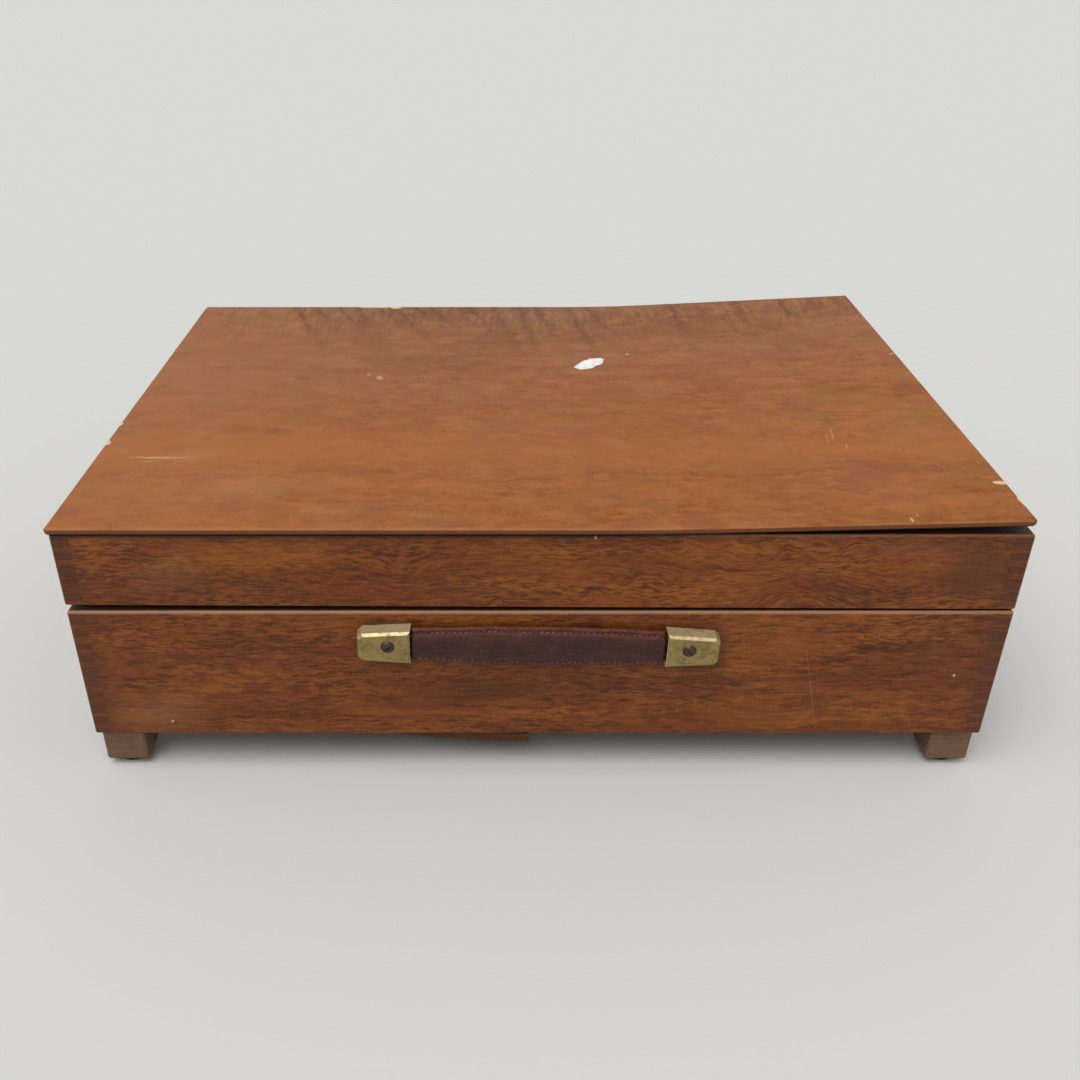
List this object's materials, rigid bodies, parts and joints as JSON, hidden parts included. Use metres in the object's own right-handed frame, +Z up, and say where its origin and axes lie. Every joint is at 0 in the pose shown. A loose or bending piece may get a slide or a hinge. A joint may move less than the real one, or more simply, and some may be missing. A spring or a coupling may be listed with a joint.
{
  "type": "lidded carrying box",
  "caption": "Comb-jointed oak box with a hinged lid, a leather strap handle in brass caps, end hooks and short block feet.",
  "frame": {"origin": "centre of the whole object's footprint, at the ground under the foot glides", "axes": "+X along the front from left to right, seen from the front; +Y from the front, where the handle is, to the hinged back; +Z up"},
  "size_m": [0.5148, 0.3641, 0.1703],
  "materials": {
    "oak_boards": "stained and varnished oak, satin, worn",
    "top_plywood": "varnished oak-faced plywood, faded by light",
    "bottom_plywood": "bare plywood, dirty",
    "foot_wood": "bare stained hardwood",
    "rubber": "matt black",
    "baize": "green wool baize",
    "dark_steel": "browned steel",
    "strap_leather": "dark brown leather, rubbed at the edges",
    "cap_brass": "stamped brass, tarnished",
    "hardware_brass": "brass, tarnished"
  },
  "bodies": {
    "case_base": {"base_front_board": "oak_boards", "base_back_board": "oak_boards", "base_left_board": "oak_boards", "base_right_board": "oak_boards", "bottom_panel": "bottom_plywood", "bottom_split_tongue": "bottom_plywood", "floor_lining": "baize", "foot_front_left": "foot_wood", "foot_front_right": "foot_wood", "foot_back_left": "foot_wood", "foot_back_right": "foot_wood", "foot_glide_front_left": "rubber", "foot_glide_front_right": "rubber", "foot_glide_back_left": "rubber", "foot_glide_back_right": "rubber", "left_hinge_base_leaf": "hardware_brass", "right_hinge_base_leaf": "hardware_brass", "left_hinge_pin": "hardware_brass", "right_hinge_pin": "hardware_brass", "left_handle_cap": "cap_brass", "right_handle_cap": "cap_brass", "handle_screws": "dark_steel", "hook_washers": "hardware_brass", "hook_pivot_screws": "hardware_brass"},
    "lid": {"lid_front_board": "oak_boards", "lid_back_board": "oak_boards", "lid_left_board": "oak_boards", "lid_right_board": "oak_boards", "lid_top_panel": "top_plywood", "lid_lining": "baize", "left_hinge_lid_leaf": "hardware_brass", "right_hinge_lid_leaf": "hardware_brass", "hook_pegs": "hardware_brass"},
    "handle_strap": {"leather_strap": "strap_leather"},
    "left_hook": {"left_hook": "hardware_brass"},
    "right_hook": {"right_hook": "hardware_brass"}
  },
  "joints": [
    {"name": "lid_hinge", "type": "hinge", "parent": "case_base", "child": "lid", "pos_m": [0, 0.17805, 0.11045], "axis": [-1, 0, 0], "range_deg": [0, 100]},
    {"name": "strap_lift", "type": "slide", "parent": "case_base", "child": "handle_strap", "axis": [0, -1, 0], "range_m": [0, 0.018], "stiffness_N_per_m": 60, "deforming": ["leather_strap"]},
    {"name": "left_hook_swing", "type": "hinge", "parent": "case_base", "child": "left_hook", "pos_m": [-0.25445, -0.07945, 0.0972], "axis": [-1, 0, 0], "range_deg": [0, 180]},
    {"name": "right_hook_swing", "type": "hinge", "parent": "case_base", "child": "right_hook", "pos_m": [0.25445, -0.07945, 0.0972], "axis": [-1, 0, 0], "range_deg": [0, 180]}
  ]
}
